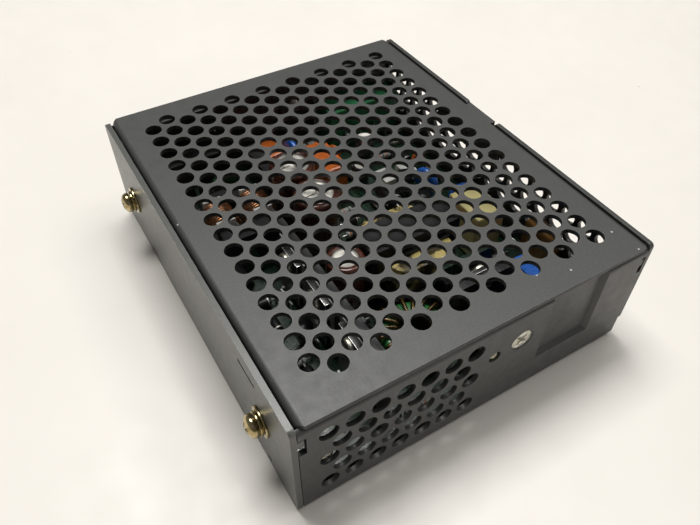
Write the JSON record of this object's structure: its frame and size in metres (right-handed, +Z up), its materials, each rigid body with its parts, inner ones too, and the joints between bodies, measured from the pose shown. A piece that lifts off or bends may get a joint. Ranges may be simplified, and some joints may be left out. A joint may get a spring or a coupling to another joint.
{
  "type": "din rail power supply",
  "caption": "Slim folded sheet metal power supply case with round vent holes, lying on its blank side around a switching supply board.",
  "frame": {"origin": "middle of the base face, which is the blank side that the case lies on", "axes": "+Z up through the vented cover, +X along the length to the end with the lamp and the stamped recess, -Y to the wall with the two rail bracket screws"},
  "size_m": [0.113, 0.0999, 0.033],
  "materials": {
    "case_paint": "dark grey semi-gloss paint with a faint grain",
    "wall_paint": "the same dark grey paint",
    "cover_paint": "dark grey paint, a little smoother",
    "film": "black insulating film",
    "yellow_zinc": "yellow passivated zinc",
    "bright_zinc": "bright zinc",
    "board_green": "green solder mask",
    "black_plastic": "moulded black plastic",
    "green_plastic": "moulded green plastic",
    "tin": "tinned metal",
    "glass_tube": "clear glass",
    "dark_green_lacquer": "dip lacquer",
    "blue_lacquer": "dip lacquer",
    "orange_epoxy": "moulded epoxy",
    "ferrite": "sintered ferrite",
    "white_plastic": "moulded white plastic",
    "copper_wire": "enamelled copper wire",
    "capacitor_sleeve": "shrunk red-brown sleeve, aluminium top",
    "dark_sleeve": "shrunk dark sleeve, aluminium top",
    "black_aluminium": "black anodised",
    "grey_pad": "silicone pad",
    "yellow_tape": "polyester tape",
    "coated_core": "coated powder core",
    "cream_plastic": "moulded cream plastic",
    "blue_plastic": "moulded blue plastic",
    "lamp_plastic": "unlit tinted lamp"
  },
  "bodies": {
    "supply": {"base_frame": "case_paint", "rail_wall": "wall_paint", "vented_wall": "case_paint", "top_cover": "cover_paint", "insulating_film": "film", "rail_press_nuts": "yellow_zinc", "rail_flat_washers": "yellow_zinc", "rail_spring_washers": "yellow_zinc", "rail_screws": "yellow_zinc", "cover_screws": "bright_zinc", "board_standoffs": "bright_zinc", "circuit_board": "board_green", "board_screws": "bright_zinc", "input_header": "black_plastic", "input_pins": "tin", "output_header": "green_plastic", "output_pins": "tin", "fuse_tube": "glass_tube", "fuse_caps": "tin", "fuse_clips": "tin", "thermistor": "dark_green_lacquer", "varistor": "blue_lacquer", "suppression_capacitors": "orange_epoxy", "choke_core": "ferrite", "choke_bobbins": "white_plastic", "choke_windings": "copper_wire", "bridge_rectifier": "black_plastic", "bulk_capacitors": "capacitor_sleeve", "primary_heatsink": "black_aluminium", "power_transistors": "black_plastic", "transistor_pads": "grey_pad", "transistor_screws": "bright_zinc", "auxiliary_capacitor": "capacitor_sleeve", "transformer_core": "ferrite", "transformer_bobbin": "black_plastic", "transformer_winding": "yellow_tape", "control_board": "board_green", "control_chips": "black_plastic", "secondary_heatsink": "black_aluminium", "output_rectifier": "black_plastic", "rectifier_screw": "bright_zinc", "inductor_core": "coated_core", "inductor_winding": "copper_wire", "output_capacitors": "dark_sleeve", "relay_box": "cream_plastic", "film_capacitor": "orange_epoxy", "safety_capacitors": "blue_lacquer", "optocouplers": "white_plastic", "trimmer_body": "blue_plastic", "led_lamp": "lamp_plastic", "led_spacer": "black_plastic"},
    "trimmer_knob": {"trimmer_rotor": "white_plastic"}
  },
  "joints": [
    {"name": "trimmer_turn", "type": "hinge", "parent": "supply", "child": "trimmer_knob", "pos_m": [0.0382, 0.03, 0.0134], "axis": [0, 1, 0], "range_deg": [-135, 135]}
  ]
}
